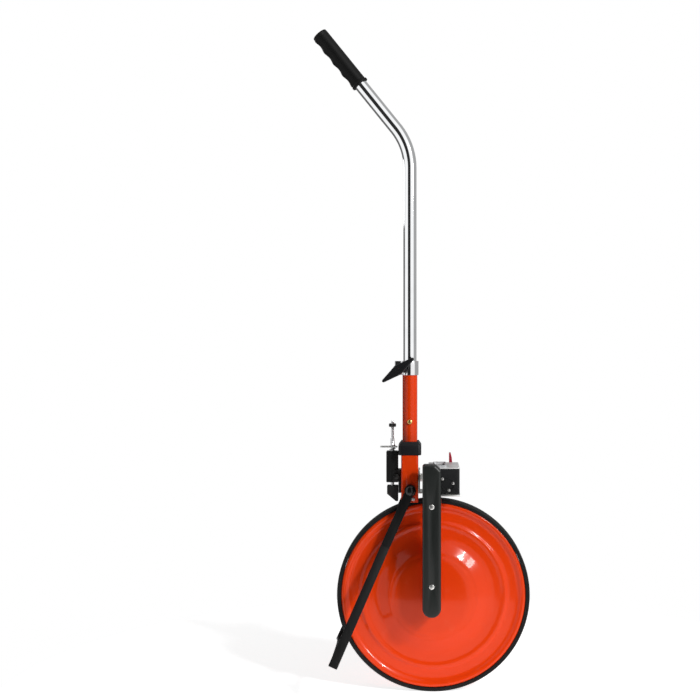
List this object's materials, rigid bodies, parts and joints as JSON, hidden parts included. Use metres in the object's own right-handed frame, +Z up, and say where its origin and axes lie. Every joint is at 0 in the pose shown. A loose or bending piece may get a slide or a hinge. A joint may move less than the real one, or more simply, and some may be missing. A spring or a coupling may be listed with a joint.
{
  "type": "measuring wheel",
  "caption": "Walking distance wheel: disc wheel in a fork, belt-driven counter, tube column with telescopic bent handle, kick stand and foot brake.",
  "frame": {"origin": "the point on the tread that touches the ground under the axle", "axes": "+Z up, +Y forward away from the walker, +X to the walker's right, the drive cover's side"},
  "size_m": [0.1784, 0.3576, 1.0946],
  "materials": {
    "orange_paint": "glossy orange stove enamel on pressed and drawn steel",
    "tyre_rubber": "solid black rubber tread band",
    "belt_rubber": "toothed black rubber belt",
    "plain_steel": "turned bright steel",
    "turned_aluminium": "turned aluminium",
    "black_oxide": "blackened steel",
    "black_paint": "satin black enamel on flat steel bar",
    "brown_plastic": "dark brown moulded plastic",
    "bush_brass": "turned brass",
    "zinc_plate": "zinc-plated steel",
    "counter_black": "fine-textured black moulding",
    "bright_steel": "bright rolled steel plate",
    "clear_acrylic": "clear window pane",
    "screw_steel": "plated screw steel",
    "cover_black": "semi-gloss black moulded cover",
    "cap_black": "satin black moulding",
    "knob_black": "black moulded knob",
    "block_black": "black moulded guide block",
    "pad_black": "hard black brake rubber",
    "chrome_plate": "polished chrome on steel",
    "grip_vinyl": "black moulded vinyl grip",
    "spring_steel": "spring wire",
    "crimson_plastic": "crimson moulded lever",
    "drum_plastic": "off-white moulded number drum"
  },
  "bodies": {
    "frame": {"fork": "orange_paint", "fork_bolt_left": "zinc_plate", "fork_bolt_right": "zinc_plate", "counter_plate": "zinc_plate", "column_bolt_left": "zinc_plate", "column_bolt_right": "zinc_plate", "counter_case": "counter_black", "counter_top_plate": "bright_steel", "counter_window": "clear_acrylic", "counter_screw_1": "screw_steel", "counter_screw_2": "screw_steel", "counter_screw_3": "screw_steel", "drive_cover": "cover_black", "cover_back": "cover_black", "cover_screw_upper": "screw_steel", "cover_screw_lower": "screw_steel", "drive_belt": "belt_rubber", "axle": "plain_steel", "axle_nut": "black_oxide", "sleeve_bush": "bush_brass", "column_base": "orange_paint", "column_cap": "cap_black", "outer_tube": "orange_paint", "clamp_band": "chrome_plate", "guide_screw": "bush_brass", "stand_pivot_pin": "black_oxide", "stand_stop_pin": "chrome_plate", "brake_bracket": "black_paint", "brake_block": "block_black", "brake_bolt": "black_oxide"},
    "wheel": {"tyre": "tyre_rubber", "wheel_disc_left": "orange_paint", "wheel_disc_right": "orange_paint", "wheel_hub": "orange_paint", "bearing_left": "plain_steel", "bearing_right": "plain_steel", "drive_sleeve": "brown_plastic", "lower_pulley": "turned_aluminium"},
    "counter_input": {"input_shaft": "plain_steel", "upper_pulley": "turned_aluminium"},
    "drum_1": {"drum_shaft": "plain_steel", "number_drum_1": "drum_plastic"},
    "drum_2": {"number_drum_2": "drum_plastic"},
    "drum_3": {"number_drum_3": "drum_plastic"},
    "drum_4": {"number_drum_4": "drum_plastic"},
    "drum_5": {"number_drum_5": "drum_plastic"},
    "reset": {"reset_shaft": "black_oxide", "reset_lever": "crimson_plastic"},
    "handle": {"handle_tube": "chrome_plate", "handle_grip": "grip_vinyl"},
    "clamp": {"clamp_screw": "chrome_plate", "wing_knob": "knob_black"},
    "stand": {"stand_leg_left": "black_paint", "stand_leg_right": "black_paint", "stand_foot_bar": "black_paint"},
    "brake": {"brake_rod": "black_oxide", "brake_knob": "knob_black", "brake_tab": "zinc_plate", "brake_pad": "pad_black", "brake_spring": "spring_steel"}
  },
  "joints": [
    {"name": "wheel_spin", "type": "hinge", "parent": "frame", "child": "wheel", "pos_m": [0, 0, 0.15915], "axis": [-1, 0, 0], "continuous": true},
    {"name": "input_spin", "type": "hinge", "parent": "frame", "child": "counter_input", "pos_m": [0, 0, 0.354], "axis": [-1, 0, 0], "continuous": true},
    {"name": "drum_1_spin", "type": "hinge", "parent": "frame", "child": "drum_1", "pos_m": [0, 0.0106, 0.354], "axis": [-1, 0, 0], "continuous": true},
    {"name": "drum_2_spin", "type": "hinge", "parent": "frame", "child": "drum_2", "pos_m": [0, 0.0106, 0.354], "axis": [-1, 0, 0], "continuous": true},
    {"name": "drum_3_spin", "type": "hinge", "parent": "frame", "child": "drum_3", "pos_m": [0, 0.0106, 0.354], "axis": [-1, 0, 0], "continuous": true},
    {"name": "drum_4_spin", "type": "hinge", "parent": "frame", "child": "drum_4", "pos_m": [0, 0.0106, 0.354], "axis": [-1, 0, 0], "continuous": true},
    {"name": "drum_5_spin", "type": "hinge", "parent": "frame", "child": "drum_5", "pos_m": [0, 0.0106, 0.354], "axis": [-1, 0, 0], "continuous": true},
    {"name": "reset_turn", "type": "hinge", "parent": "frame", "child": "reset", "pos_m": [0, 0.03, 0.356], "axis": [-1, 0, 0], "range_deg": [0, 45], "stiffness_Nm_per_rad": 0.08, "springref_deg": -20.05},
    {"name": "handle_slide", "type": "slide", "parent": "frame", "child": "handle", "axis": [0, 0, -1], "range_m": [0, 0.1]},
    {"name": "clamp_turn", "type": "hinge", "parent": "frame", "child": "clamp", "pos_m": [0, -0.058, 0.531], "axis": [-1, 0, 0], "range_deg": [0, 360]},
    {"name": "stand_fold", "type": "hinge", "parent": "frame", "child": "stand", "pos_m": [0, -0.038, 0.333], "axis": [-1, 0, 0], "range_deg": [0, 125]},
    {"name": "brake_press", "type": "slide", "parent": "frame", "child": "brake", "axis": [0, 0, -1], "range_m": [0, 0.006], "stiffness_N_per_m": 600, "springref_m": -0.004, "deforming": ["brake_spring"]}
  ],
  "couplings": [
    {"joint": "input_spin", "follows": "wheel_spin", "ratio": 1},
    {"joint": "drum_1_spin", "follows": "wheel_spin", "ratio": -1},
    {"joint": "drum_2_spin", "follows": "wheel_spin", "ratio": -0.1},
    {"joint": "drum_3_spin", "follows": "wheel_spin", "ratio": -0.01},
    {"joint": "drum_4_spin", "follows": "wheel_spin", "ratio": -0.001},
    {"joint": "drum_5_spin", "follows": "wheel_spin", "ratio": -0.0001}
  ]
}
